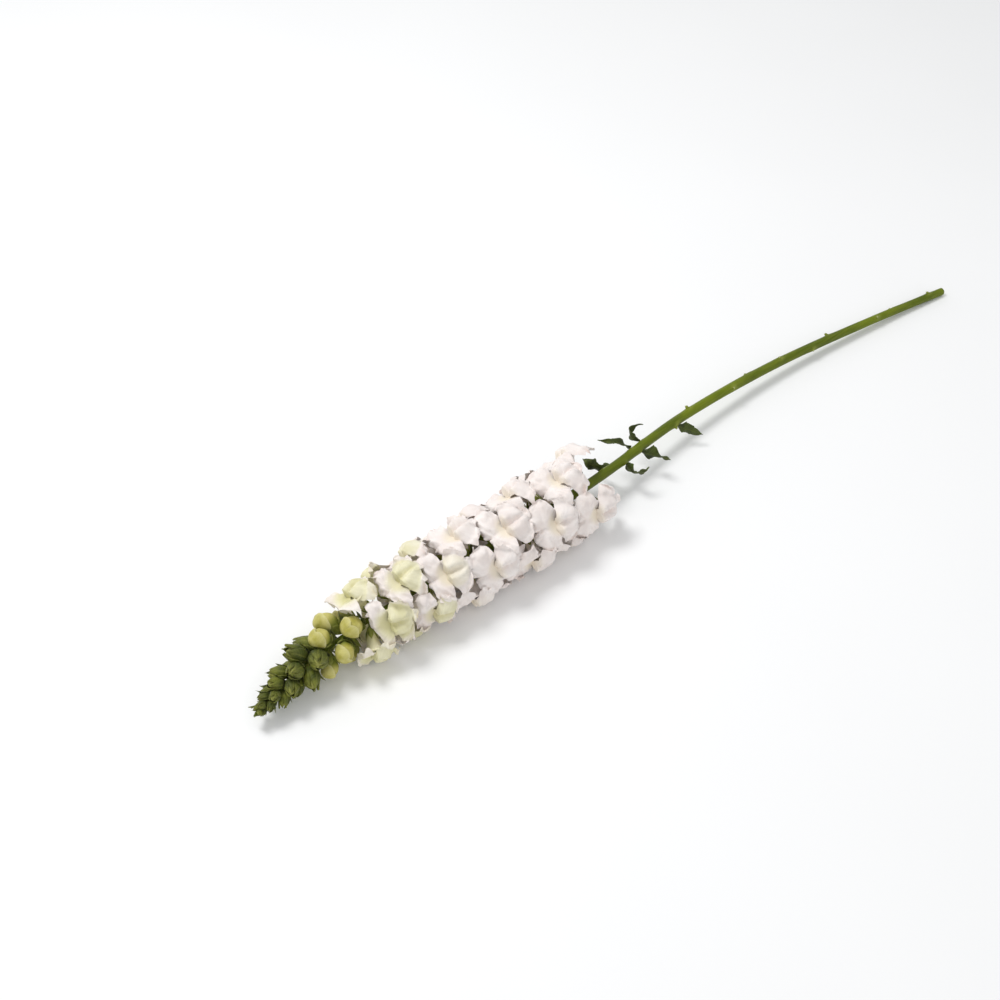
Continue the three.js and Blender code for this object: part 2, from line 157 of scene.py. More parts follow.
def turned(vector, axis, degrees):
    """Vector turned about a unit axis."""
    angle = math.radians(degrees)
    return (
        vector * math.cos(angle)
        + np.cross(axis, vector) * math.sin(angle)
        + axis * np.dot(axis, vector) * (1 - math.cos(angle))
    )


def through(stations, shares):
    """Points of a smooth curve through stations (count, ..., n) at shares from 0 to 1."""
    stations = np.asarray(stations, float)
    last = len(stations) - 1
    place = np.clip(shares, 0, 1) * last
    low = np.minimum(place.astype(int), last - 1)
    t = (place - low).reshape((-1,) + (1,) * (stations.ndim - 1))
    padded = np.concatenate([
        2 * stations[:1] - stations[1:2], stations, 2 * stations[-1:] - stations[-2:-1]
    ])
    a, b, c, d = (padded[low + k] for k in range(4))
    return (
        b
        + 0.5 * t * (c - a)
        + t**2 * (a - 2.5 * b + 2 * c - 0.5 * d)
        + t**3 * (1.5 * (b - c) + 0.5 * (d - a))
    )


def line(stations):
    """A smooth function through (x, y) stations with rising x."""
    xs, ys = through(stations, np.linspace(0, 1, 161)).T
    return lambda x: np.interp(x, xs, ys)


# ---- The spine that everything follows ----

def spine_at(t):
    """Points of the spine, with t from 0 at the cut end to 1 at the tip."""
    return through(SPINE_POINTS, np.asarray(t, float))


SPINE_TS = np.linspace(0, 1, 401)
SPINE_LENGTHS = np.concatenate([
    [0], np.cumsum(np.linalg.norm(np.diff(spine_at(SPINE_TS), axis=0), axis=1))
])
STEM_LENGTH = SPINE_LENGTHS[-1]


def bend(points):
    """From the straight stem to the bent one."""
    share = np.clip(points[:, 0] / STEM_LENGTH, 0, 1)
    t = np.interp(share * STEM_LENGTH, SPINE_LENGTHS, SPINE_TS)
    step = 1e-4
    ahead, behind = np.minimum(t + step, 1), np.maximum(t - step, 0)
    along = unit(spine_at(ahead) - spine_at(behind))
    side = unit(np.cross(along, [0, 0, 1]))
    above = np.cross(side, along)
    rest = (points[:, 0] - share * STEM_LENGTH)[:, None]
    return spine_at(t) + along * rest + side * points[:, 1:2] + above * points[:, 2:3]


def settle(points):
    """Bends the points along the spine and presses the low ones flat on the surface."""
    placed = bend(points)
    depth = np.maximum(PRESS_FROM - placed[:, 2], 0)
    squeeze = PRESS_DEPTH / (PRESS_FROM + PRESS_DEPTH) ** 2
    placed[:, 2] += squeeze * smoothstep(points[:, 0], *PRESS_FADE) * depth**2
    placed[:, 2] = np.maximum(placed[:, 2], FLOOR_GAP)
    return placed


def stem_radius(distance):
    """The solid stem's radius so far from its cut end."""
    share = np.clip((distance - RACEME_START) / (STEM_LENGTH - RACEME_START), 0, 1)
    low = lerp(STEM_RADIUS["cut"], STEM_RADIUS["raceme"], np.minimum(distance / RACEME_START, 1))
    high = lerp(STEM_RADIUS["raceme"], STEM_RADIUS["tip"], share**1.3)
    return np.where(distance < RACEME_START, low, high)


def on_stem(distance, angle, radius, sideways=0.0):
    """Points beside the straight stem: so far along it, at an angle round it, so far out from its
    axis and so far sideways."""
    turn = np.radians(angle)
    across = np.cos(turn) * radius - np.sin(turn) * sideways
    above = np.sin(turn) * radius + np.cos(turn) * sideways
    return np.stack(np.broadcast_arrays(np.asarray(distance, float), across, above), axis=-1)


# ---- Where each flower sits ----

def open_floret(number, distance):
    """How the open floret of this number leans, how large it is and how far it has opened."""
    youth = number / (OPEN_FLORETS - 1)
    return SimpleNamespace(
        kind="open",
        distance=distance,
        youth=youth,
        lean=lerp(*OPEN_LEAN, youth**1.5) + spread(number, TRAIT.lean, 4),
        roll=spread(number, TRAIT.roll, 7),
        size=lerp(*OPEN_SIZE, youth**2) * (1 + spread(number, TRAIT.size, 0.035)),
        openness=1 - 0.4 * float(smoothstep(youth, 0.84, 1.02)),
        root=OPEN_ROOT - 1.5 * youth,
    )


def bud(rank, number, distance):
    """How the bud of this rank above the open florets leans, and how large it is. Its petals show
    in the lower buds, and its sepals are still shut over them in the upper ones."""
    age = rank / (VISIBLE_BUDS + GREEN_BUDS - 1)
    length = lerp(*BUD_LENGTH, age**1.5)
    return SimpleNamespace(
        kind="bud" if rank < VISIBLE_BUDS else "green",
        distance=distance,
        age=age,
        lean=lerp(*BUD_LEAN, age**1.3),
        roll=0,
        length=length * (1 + spread(number, TRAIT.length, 0.06)),
        size=min(length / 15, 1),
        cover=lerp(0.34, 0.48, min(rank / VISIBLE_BUDS, 1)),
        root=float(stem_radius(distance)) + BUD_ROOT * length / BUD_LENGTH[0],
    )


def flower_axes(flower):
    """A flower's own axes: out of its tube, towards the top of its face, and to its side."""
    radial = on_stem(0, flower.angle, 1)
    tipward = np.array([1.0, 0, 0])
    cos, sin = math.cos(math.radians(flower.lean)), math.sin(math.radians(flower.lean))
    out = radial * cos + tipward * sin
    top = turned(tipward * cos - radial * sin, out, flower.roll)
    return SimpleNamespace(out=out, top=top, side=np.cross(top, out))


def laid_out():
    """All flowers in their spiral, from the lowest open one to the smallest bud at the tip."""
    flowers, distance = [], RACEME_START
    for i in range(OPEN_FLORETS + VISIBLE_BUDS + GREEN_BUDS):
        rank = i - OPEN_FLORETS
        flower = open_floret(i, distance) if rank < 0 else bud(rank, i, distance)
        flower.number = i
        flower.angle = FIRST_ANGLE + i * GOLDEN_ANGLE + spread(i, TRAIT.angle, 4)
        flower.axes = flower_axes(flower)
        flowers.append(flower)
        distance += lerp(*OPEN_STEP, flower.youth) if rank < 0 else lerp(*BUD_STEP, flower.age**0.9)
    return flowers


FLOWERS = laid_out()
DISTANCES = np.array([f.distance for f in FLOWERS])
SLOPES = np.tan(np.radians([f.lean for f in FLOWERS]))
TURNS = np.radians([f.angle for f in FLOWERS])


def wrapped(angle):
    """The same direction as an angle within half a turn of 0."""
    return np.arctan2(np.sin(angle), np.cos(angle))


def tuck(radius):
    """How far the cells slide towards the tip, so that the lips lie like shingles."""
    behind = smoothstep(radius, TUCK.start, TUCK.turn)
    front = smoothstep(radius, TUCK.turn, TUCK.end)
    return TUCK.back * behind * (1 - front) + TUCK.forward * front


def keep_in_cell(points, flower, overlap):
    """Crowds a flower's points into the room that it has between its neighbours. On the cylinder
    through each point, that room ends halfway to the middle of each neighbour."""
    i = flower.number
    radius = np.hypot(points[:, 1], points[:, 2])
    middle = flower.distance + radius * SLOPES[i] + tuck(radius)
    along = points[:, 0] - middle
    across = radius * wrapped(np.arctan2(points[:, 2], points[:, 1]) - TURNS[i])
    offset = np.hypot(along, across)
    dx = DISTANCES - DISTANCES[i] + radius[:, None] * (SLOPES - SLOPES[i])
    dy = radius[:, None] * wrapped(TURNS - TURNS[i])
    facing = dx * along[:, None] + dy * across[:, None]
    facing[:, i] = 0
    with np.errstate(divide="ignore", invalid="ignore"):
        rooms = np.where(facing > 0, (dx**2 + dy**2) * offset[:, None] / (2 * facing), np.inf)
    share = offset / np.minimum(rooms.min(axis=1) + overlap, FREE_ROOM)
    free = 1 - CELL_SOFTNESS
    kept = free + CELL_SOFTNESS * np.tanh((share - free) / CELL_SOFTNESS)
    scale = np.where(share <= free, 1, kept / np.maximum(share, 1e-9))
    angle = flower.angle + np.degrees(across * scale / np.maximum(radius, 1e-9))
    risen = radius + np.minimum(CROWDING.share * offset * (1 - scale), CROWDING.most)
    risen = risen - LEAN_BACK.share * np.maximum(risen - LEAN_BACK.start, 0)
    risen = risen - DROOP.share * np.maximum(offset * scale - DROOP.start, 0)
    return on_stem(middle + along * scale, angle, risen)


def seat(flower, height, width, out, overlap=-CELL_GAP):
    """From a flower's own axes to where the points end up. They may reach over the next flowers by
    the overlap, and stay clear of them where it is below 0."""
    height, width, out = (np.ravel(v)[:, None] for v in np.broadcast_arrays(height, width, out))
    axes = flower.axes
    points = (
        np.array([flower.distance, 0, 0])
        + axes.out * (flower.root + out)
        + axes.top * height
        + axes.side * width
    )
    return settle(keep_in_cell(points, flower, overlap))


# ---- Meshes: a ball that is pulled into shape ----

BALLS = {}


def ball(columns, rings):
    """The mesh of a ball, and the column and the ring that each vertex lies on."""
    if (columns, rings) not in BALLS:
        bpy.ops.object.select_all(action="DESELECT")
        bpy.ops.mesh.primitive_uv_sphere_add(segments=columns, ring_count=rings, radius=1)
        made = bpy.context.object
        bpy.ops.object.shade_smooth()
        mesh = made.data.copy()
        bpy.data.objects.remove(made)
        at = np.empty(len(mesh.vertices) * 3, np.float32)
        mesh.vertices.foreach_get("co", at)
        at = at.reshape(-1, 3).astype(float)
        ring = np.rint(np.arccos(np.clip(at[:, 2], -1, 1)) / math.pi * rings).astype(int)
        column = np.rint(np.arctan2(at[:, 1], at[:, 0]) / (2 * math.pi) * columns).astype(int)
        BALLS[columns, rings] = mesh, column % columns, ring
    return BALLS[columns, rings]


def signed_volume(mesh, points):
    """Six times the volume inside the mesh, and below 0 where its faces point inwards."""
    mesh.calc_loop_triangles()
    corners = np.empty(len(mesh.loop_triangles) * 3, np.int32)
    mesh.loop_triangles.foreach_get("vertices", corners)
    a, b, c = (points[corners.reshape(-1, 3)[:, k]] for k in range(3))
    return float(np.einsum("ij,ij->", a - points[0], np.cross(b - points[0], c - points[0])))


def shaped(columns, rings, form):
    """A closed piece: form(turn, way) gives the place in millimetres of each vertex of a ball and
    a dictionary of marks, which a finish can read. turn is the vertex's angle round the ball, and
    way runs from 0 at one pole to 1 at the other."""
    template, column, ring = ball(columns, rings)
    mesh = template.copy()
    places, marks = form(2 * math.pi * column / columns, ring / rings)
    points = (places + FRAME_SHIFT) / 1000
    mesh.vertices.foreach_set("co", points.astype(np.float32).ravel())
    if signed_volume(mesh, points) < 0:
        mesh.flip_normals()
    for mark, value in marks.items():
        numbers = np.broadcast_to(np.asarray(value, np.float32), column.shape)
        mesh.attributes.new(mark, "FLOAT", "POINT").data.foreach_set("value", numbers.copy())
    mesh.update()
    made = bpy.data.objects.new("part", mesh)
    bpy.context.scene.collection.objects.link(made)
    return made


def piece(name, parts, finish, slot, *nodes):
    """Joins parts into one piece of the stem, which stands for these nodes of the frame."""
    bpy.ops.object.select_all(action="DESELECT")
    for part in parts:
        part.select_set(True)
    made = parts[0]
    bpy.context.view_layer.objects.active = made
    if len(parts) > 1:
        bpy.ops.object.join()
    made.name = made.data.name = name
    made.data.materials.clear()
    made.data.materials.append(finish)
    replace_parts(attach(made, "root"), *nodes)


def faces(way):
    """For a petal whose two faces are the two halves of a ball: the share of the way from its
    middle to its edge, and the side, from 1 in front to -1 behind."""
    return np.sin(math.pi * way), np.cos(math.pi * way)


def closer_at_ends(way):
    """Shares from 0 to 1 that lie closer together at both ends."""
    return 0.5 - 0.5 * np.cos(math.pi * way)


# ---- Finishes ----

def colour(code):
    """The shader's colour for a code such as 0xf3efee."""
    parts = [((code >> shift) & 255) / 255 for shift in (16, 8, 0)]
    return (*(c / 12.92 if c <= 0.04045 else ((c + 0.055) / 1.055) ** 2.4 for c in parts), 1.0)


class Varying:
    """What one output of a finish's nodes gives at each point. Sums on it add nodes."""

    def __init__(self, finish, socket):
        self.finish, self.socket = finish, socket

    def maths(self, operation, *values):
        return self.finish.node("ShaderNodeMath", {"operation": operation}, dict(enumerate(values)))

    def __add__(self, other):
        return self.maths("ADD", self, other)

    def __sub__(self, other):
        return self.maths("SUBTRACT", self, other)

    def __rsub__(self, other):
        return self.maths("SUBTRACT", other, self)

    def __mul__(self, other):
        return self.maths("MULTIPLY", self, other)

    def __pow__(self, other):
        return self.maths("POWER", self, other)

    def __abs__(self):
        return self.maths("ABSOLUTE", self)

    __radd__, __rmul__ = __add__, __mul__

    def sine(self):
        return self.maths("SINE", self)

    def ramp(self, low, high):
        """0 up to low and 1 from high on, smooth between them. low may be the larger one."""
        limits = {"From Min": min(low, high), "From Max": max(low, high)}
        settings = {"interpolation_type": "SMOOTHSTEP"}
        rise = self.finish.node("ShaderNodeMapRange", settings, {"Value": self, **limits})
        return 1 - rise if low > high else rise


class Finish:
    """A material: its constants are set on the shader's own sockets."""

    def __init__(self, name, **constants):
        self.material = bpy.data.materials.new(name)
        self.material.use_nodes = True
        self.nodes = self.material.node_tree.nodes
        self.links = self.material.node_tree.links
        self.shader = self.nodes["Principled BSDF"]
        for socket, value in constants.items():
            self.shader.inputs[socket.replace("_", " ")].default_value = value

    def node(self, kind, settings=None, inputs=None, output=0):
        made = self.nodes.new(kind)
        for name, value in (settings or {}).items():
            setattr(made, name, value)
        for name, value in (inputs or {}).items():
            self.give(made.inputs[name], value)
        return Varying(self, made.outputs[output])

    def give(self, socket, value):
        if isinstance(value, Varying):
            self.links.new(value.socket, socket)
        else:
            socket.default_value = value

    def mark(self, name):
        return self.node("ShaderNodeAttribute", {"attribute_name": name}, output="Fac")

    def noise(self, scale, detail=2.0, rough=0.5, stretch=None):
        """Soft random spots, about this many to the metre."""
        place = self.node("ShaderNodeTexCoord", output="Object")
        if stretch:
            place = self.node("ShaderNodeMapping", inputs={"Vector": place, "Scale": stretch})
        inputs = {"Vector": place, "Scale": scale, "Detail": detail, "Roughness": rough}
        return self.node("ShaderNodeTexNoise", inputs=inputs)

    def mix(self, share, low, high):
        settings = {"data_type": "RGBA", "clamp_factor": True}
        inputs = {0: share, 6: low, 7: high}
        return self.node("ShaderNodeMix", settings, inputs, output=2)

    def relief(self, height, distance, strength=1.0):
        inputs = {"Height": height, "Distance": distance, "Strength": strength}
        self.give(self.shader.inputs["Normal"], self.node("ShaderNodeBump", inputs=inputs))

    def wear(self, **varying):
        for socket, value in varying.items():
            self.give(self.shader.inputs[socket.replace("_", " ")], value)
        return self.material


def petal_finish(name):
    """Soft white petals with a greenish cream throat and faint veins; greener while young."""
    f = Finish(
        name,
        Subsurface_Weight=0.15,
        Subsurface_Radius=(1.0, 0.9, 0.8),
        Subsurface_Scale=0.0015,
        Sheen_Weight=0.1,
        Specular_IOR_Level=0.3,
    )
    young, throat, rim, foot, ray = (f.mark(m) for m in ("young", "throat", "rim", "foot", "ray"))
    cloud = f.noise(70, 3)
    grain = f.noise(1500, 2)
    wander = f.noise(230, 2)
    fans = ((ray * 34 + wander * 9).sine() * 0.5 + 0.5) ** 6
    veins = fans * cloud.ramp(0.35, 0.65) * rim.ramp(1.05, 0.6)
    pleats = (ray * 15 + cloud * 9 + wander * 3).sine() * rim.ramp(0.1, 0.7)
    white = f.mix(cloud.ramp(0.3, 0.7), colour(0xf0e4de), colour(0xfaf1ec))
    fresh = f.mix(cloud.ramp(0.25, 0.75), colour(0xdcd6a6), colour(0xf0eac9))
    deep = f.mix(young, colour(0xf0e4c8), colour(0xc8c57e))
    petal = f.mix((young * 1.3 - rim * 0.8).ramp(0.0, 0.9), white, fresh)
    petal = f.mix((throat * 0.7 + foot * 0.9).ramp(0.1, 1.15), petal, deep)
    petal = f.mix(veins * 0.1, petal, f.mix(young, colour(0xd8cbc4), colour(0xb9b67c)))
    f.relief(veins * -0.15 + grain * 0.12 + wander * 0.9 + pleats * 0.35, 0.0006, 0.7)
    return f.wear(Base_Color=petal, Roughness=0.45 + cloud * 0.2)


def bud_finish():
    """Waxy yellow-green petals, greener at the foot and paler along the folds."""
    f = Finish(
        "bud_petal",
        Subsurface_Weight=0.2,
        Subsurface_Radius=(1.0, 1.0, 0.4),
        Subsurface_Scale=0.0015,
        Specular_IOR_Level=0.4,
    )
    foot, fold, ray = f.mark("foot"), f.mark("fold"), f.mark("ray")
    cloud = f.noise(160, 3)
    veins = ((ray * 30 + cloud * 5).sine() * 0.5 + 0.5) ** 4
    base = f.mix(cloud.ramp(0.3, 0.7), colour(0xaea648), colour(0xc9c172))
    base = f.mix(foot.ramp(0.1, 0.95), base, colour(0x7a8230))
    base = f.mix(fold * 0.7, base, colour(0xdcd6a0))
    base = f.mix(veins * 0.09, base, colour(0x93944a))
    f.relief(veins * 0.3 + f.noise(1300, 2) * 0.3, 0.0003, 0.5)
    return f.wear(Base_Color=base, Roughness=0.4 + cloud * 0.18)


def stem_finish():
    """A smooth green stalk with fine lengthwise ridges, and pale pith where it is cut."""
    f = Finish(
        "green_stalk",
        Subsurface_Weight=0.06,
        Subsurface_Radius=(0.6, 1.0, 0.3),
        Subsurface_Scale=0.001,
        Specular_IOR_Level=0.2,
    )
    cut, knot, up, ray = f.mark("cut"), f.mark("knot"), f.mark("along"), f.mark("ray")
    cloud = f.noise(28, 3)
    ridges = (ray * 26 + f.noise(18, 2) * 5).sine() * 0.5 + 0.5
    streaks = f.noise(1.0, 3, 0.6, stretch=(22, 700, 700))
    base = f.mix(cloud.ramp(0.3, 0.7), colour(0x526006), colour(0x6c7a0c))
    base = f.mix(streaks.ramp(0.42, 0.7) * 0.45, base, colour(0x7a8228))
    base = f.mix(up.ramp(0.35, 0.75) * 0.6, base, colour(0x525c10))
    base = f.mix(knot * 0.6, base, colour(0x9aa24a))
    pith = f.mix(f.noise(1400, 2).ramp(0.35, 0.65), colour(0xc6cf95), colour(0xe4e6c2))
    base = f.mix(cut.ramp(0.1, 0.9), base, pith)
    pores = f.noise(2600, 2).ramp(0.5, 0.75)
    f.relief(ridges * 0.7 + streaks * 0.5 + pores * 0.12, 0.0003, 0.5)
    return f.wear(Base_Color=base, Roughness=0.4 + cloud * 0.18)


def green_finish(name, dark, light, edge):
    """Sepals and small leaves: a paler midrib, side veins and a downy surface."""
    f = Finish(
        name,
        Subsurface_Weight=0.06,
        Subsurface_Radius=(0.5, 1.0, 0.25),
        Subsurface_Scale=0.0008,
        Sheen_Weight=0.03,
        Specular_IOR_Level=0.28,
    )
    along, across = f.mark("along"), f.mark("across")
    off = abs(across)
    cloud = f.noise(210, 3)
    side_veins = ((along * 62 - off * 10 + cloud * 2).sine() * 0.5 + 0.5) ** 9
    rib = off.ramp(0.16, 0.02)
    patches = f.noise(75, 2)
    base = f.mix((cloud * 0.4 + patches * 0.6).ramp(0.36, 0.64), colour(dark), colour(light))
    base = f.mix(along.ramp(0.45, 1.05) * 0.35, base, colour(edge))
    base = f.mix((side_veins * 0.35 + rib * 0.65) * 0.35, base, colour(edge))
    base = f.mix(off.ramp(0.86, 1.0) * 0.4, base, colour(edge))
    down = f.noise(2400, 2)
    f.relief(down * 0.25 - side_veins * 0.5 - rib * 0.8, 0.00035, 0.6)
    return f.wear(Base_Color=base, Roughness=0.45 + cloud * 0.2)


# ---- An open floret ----

# The lips seen from the front, in millimetres. The middle of each one is this far above the tube's
# axis. Its edge is so far from its middle at each angle in degrees, counted from the side of its
# lobes. It lies so far out at each distance from the tube's axis (the upper lip) or from its own
# middle (the lower lip). Then come the most that a lobe may curl, twist or bow to one side, the
# depth of its dents, and how far its sides and its tips may reach over the next flowers.
UPPER_LIP = SimpleNamespace(
    middle=13,
    edge=line([
        (0, 5.5), (7, 9.4), (16, 17.6), (29, 23.6), (46, 27.4), (66, 26.4), (88, 26.4), (108, 23.4),
        (130, 17.4), (155, 12.5), (180, 11.5),
    ]),
    out=line([
        (0, 20.5), (5, 21.6), (9, 23.4), (13, 25), (19, 25.4), (25, 24), (31, 20.8), (38, 16.5),
    ]),
    curl=4,
    twist=3.2,
    dents=1.1,
    overlap=4,
    tip_overlap=3,
)
LOWER_LIP = SimpleNamespace(
    middle=-4,
    edge=line([
        (0, 28.6), (8, 26), (17, 20.4), (24, 14.2), (31, 17.6), (42, 24.8), (56, 30), (66, 28.6),
        (78, 25.2), (90, 20.4), (101, 15), (125, 10), (155, 8.2), (180, 7.6),
    ]),
    out=line([
        (0, 27.2), (4, 27.4), (7.5, 26.6), (10.5, 24.6), (13, 23), (15.5, 22.3), (18, 21),
        (21, 18.8), (24, 16), (28, 12.2),
    ]),
    curl=5.5,
    twist=2.8,
    bow=0.16,
    dents=0.6,
    overlap=2.2,
    tip_overlap=4,
)
# Where the lobes are, in degrees from the middle of the lip: the middle of each upper lobe, with its
# point and a smaller one beside it, the outer two lower lobes, and the clefts next to the middle one.
# The points stand out so far in millimetres.
LOBES = SimpleNamespace(upper=37, upper_point=44, side_point=96, lower=60, cleft=24, tip=4.5)


def crumple(x, y, own):
    """Soft dents over a petal, at most about 1 high, from its own places in millimetres."""
    a, b, c, d = (spread(own, TRAIT.dents + k, math.pi) for k in range(4))
    broad = np.sin(0.36 * x + 0.22 * y + a) * np.sin(0.34 * y - 0.12 * x + b)
    return broad + 0.6 * np.sin(0.85 * y + 0.3 * x + c) * np.sin(0.7 * x - 0.2 * y + d)


def greenness(flower, start, end):
    """How green a part of the flower still is: its buds are green, and they whiten as they open."""
    return float(smoothstep(flower.youth, start, end))


def sheet(edge, face):
    """How far the two faces of a thin petal are from its middle."""
    return PETAL_HALF_THICKNESS * np.sign(face) * np.sqrt(np.abs(face)) * lerp(1.0, 0.7, edge)


def rim(turn, edge, own, broad, fine):
    """The ruffles of a petal's edge, which also rolls back here and there."""
    ruffle = edge**2 * waves(turn, own, TRAIT.ruffle, broad)
    ruffle = ruffle + RIM.fine_ruffle * edge**2.5 * waves(turn, own, TRAIT.fine_ruffle, fine)
    rolled = smoothstep(edge, RIM.roll_start, 1.0) ** 2
    rolled = rolled * (0.5 + 0.5 * waves(turn, own, TRAIT.rolled_rim, broad[1:]))
    return RIM.ruffle * ruffle - RIM.roll * rolled


def upper_lip(flower):
    """The upper lip: one thin sheet with two broad rounded lobes that fold back at the sides."""
    own, size, openness = flower.number * 10 + 1, flower.size, flower.openness
    grown = lerp(0.6, 1, openness)
    curls = [spread(own, TRAIT.curl + k, UPPER_LIP.curl) for k in range(2)]
    twists = [spread(own, TRAIT.twist + k, UPPER_LIP.twist) for k in range(2)]

    def form(turn, way):
        edge, face = faces(way)
        uneven = 0.07 * waves(turn, own, TRAIT.outline, (1, 2, 3))
        uneven = uneven + 0.035 * waves(turn, own, TRAIT.fine_outline, (7, 11, 17, 26))
        around = np.abs(np.degrees(wrapped(turn)))
        tips = bell(around - LOBES.upper_point, 8) + 0.6 * bell(around - LOBES.side_point, 9)
        tips = edge**4 * tips
        reach = UPPER_LIP.edge(around) * (1 + uneven) + LOBES.tip * tips
        height = (UPPER_LIP.middle + edge * reach * np.cos(turn)) * grown
        width = edge * reach * np.sin(turn) * grown
        far = np.hypot(height, width)
        # How far along its lobe a point is, how far beside the lobe's middle, and which lobe's it is.
        share = far / 30
        off = np.arctan2(np.abs(width), height) - math.radians(LOBES.upper)
        side = far * np.sin(off) / 14
        hand = 0.5 + 0.5 * np.tanh(width / 4)
        out = UPPER_LIP.out(far) + 8 * (1 - openness) * share + lerp(*curls, hand) * share**3
        out = out + lerp(*twists, hand) * side * share + lerp(-0.4, 0.4, hand)
        out = out - 1.6 * np.maximum(-side, 0) ** 2 - 3.6 * np.maximum(side, 0) ** 2
        ruffle = rim(turn, edge, own, (5, 8, 13), (17, 26))
        ruffle = ruffle + UPPER_LIP.dents * crumple(height, width, own)
        out = out + smoothstep(far, 7, 17) * openness * ruffle
        groove = 2.4 * bell(width, 2.0) * smoothstep(far, 6, 15)
        out = out - groove + sheet(edge, face)
        marks = {
            "young": greenness(flower, 0.5, 1.15),
            "throat": smoothstep(far, 15, 6),
            "rim": smoothstep(far / grown, 8, 21),
            "foot": 0.0,
            "ray": np.arctan2(width, height + 2),
        }
        places = height * size, width * size, out * size + SEAT_GAP
        return seat(flower, *places, UPPER_LIP.overlap + UPPER_LIP.tip_overlap * tips), marks

    return shaped(112, 32, form)


def lower_lip(flower):
    """The lower lip: a swelling with two humps that shuts the mouth and flows into three pointed
    lobes that fold back."""
    own, size, openness = flower.number * 10 + 2, flower.size, flower.openness
    grown = lerp(0.7, 1, openness)
    curls = np.array([spread(own, TRAIT.curl + k, LOWER_LIP.curl) for k in range(3)])
    twists = np.array([spread(own, TRAIT.twist + k, LOWER_LIP.twist) for k in range(3)])
    bows = np.array([spread(own, TRAIT.bow + k, LOWER_LIP.bow) for k in range(3)])

    def form(turn, way):
        edge, face = faces(way)
        off = np.degrees(wrapped(turn))
        which = np.where(np.abs(off) < LOBES.cleft, 1, 1 + np.sign(off)).astype(int)
        side = (off - LOBES.lower * (which - 1)) / 30
        uneven = 0.08 * waves(turn, own, TRAIT.outline, (1, 2, 3))
        uneven = uneven + 0.04 * waves(turn, own, TRAIT.fine_outline, (8, 13, 21, 30))
        tips = edge**4 * bell(side, 0.22)
        far = edge * LOWER_LIP.edge(np.abs(off)) * (1 + uneven) + LOBES.tip * tips
        lobes = smoothstep(far, 12.5, 23)
        body = smoothstep(far, 13, 8)
        way_out = turn + bows[which] * lobes
        height = (LOWER_LIP.middle - far * np.cos(way_out)) * grown
        width = far * np.sin(way_out) * grown
        out = LOWER_LIP.out(far) + 7 * (1 - openness) * lobes + curls[which] * lobes**2
        out = out + twists[which] * side * lobes - 1.5 * side**2 * smoothstep(far, 11, 15)
        # The two humps with the groove between them, their creases, and the fold at their foot.
        out = out + body * (1.7 * bell(np.abs(width) - 5.6, 3) - 2.9 * bell(width, 2.1))
        out = out + 0.3 * body * np.sin(height * 2.2 + np.abs(width) * 0.3) * bell(height - 0.5, 2.6)
        out = out - 1.3 * bell(far - 13.4, 1.8) * smoothstep(height, 0, -3)
        out = out - 6 * smoothstep(height, 0.2, 4.4) + LOWER_LIP.dents * crumple(height, width, own)
        out = out + lobes * openness * rim(turn, edge, own, (5, 9, 14), (21, 30)) + sheet(edge, face)
        marks = {
            "young": greenness(flower, 0.45, 0.95),
            "throat": 0.9 * smoothstep(height, -6, 3) * smoothstep(far, 16, 8),
            "rim": smoothstep(far, 11, 19),
            "foot": 0.0,
            "ray": np.arctan2(width, 3 - height),
        }
        places = height * size, width * size, out * size + SEAT_GAP
        return seat(flower, *places, LOWER_LIP.overlap + LOWER_LIP.tip_overlap * tips), marks

    return shaped(120, 36, form)


def tube(flower):
    """The corolla's tube, with a small sac below its base, up to the collar behind the lobes."""
    size = flower.size
    stations = np.array([  # radius, distance out
        [0, 0.2], [2.2, 1.2], [3.5, 4], [4.3, 8.5], [5.3, 13], [7.4, 17], [10.2, 19.8], [11.8, 21.4],
        [11.0, 22.2], [8.0, 22.2], [4.0, 21.2], [0, 20.6],
    ])

    def form(turn, way):
        radius, out = through(stations, way).T
        low = bell(wrapped(turn - math.pi), 0.8)
        sac = 0.9 * low * bell(out - 4.5, 2.2) * (way > 0.05)
        uneven = 0.035 * waves(turn, flower.number, TRAIT.tube, (2, 5, 7))
        radius = (np.maximum(radius, 0) + sac) * (1 + uneven)
        radius = np.where((way == 0) | (way == 1), 0, radius)
        marks = {
            "young": greenness(flower, 0.5, 1.0),
            "throat": smoothstep(way, 0.75, 0.95),
            "rim": 0.0,
            "foot": smoothstep(out, 21, 3),
            "ray": turn,
        }
        height, width = radius * np.cos(turn) * size, radius * np.sin(turn) * size
        return seat(flower, height, width, out * size + SEAT_GAP), marks

    return shaped(36, 22, form)


# ---- Buds, sepals, bracts and stalks ----

BUD_RADIUS = line(BUD_PROFILE)


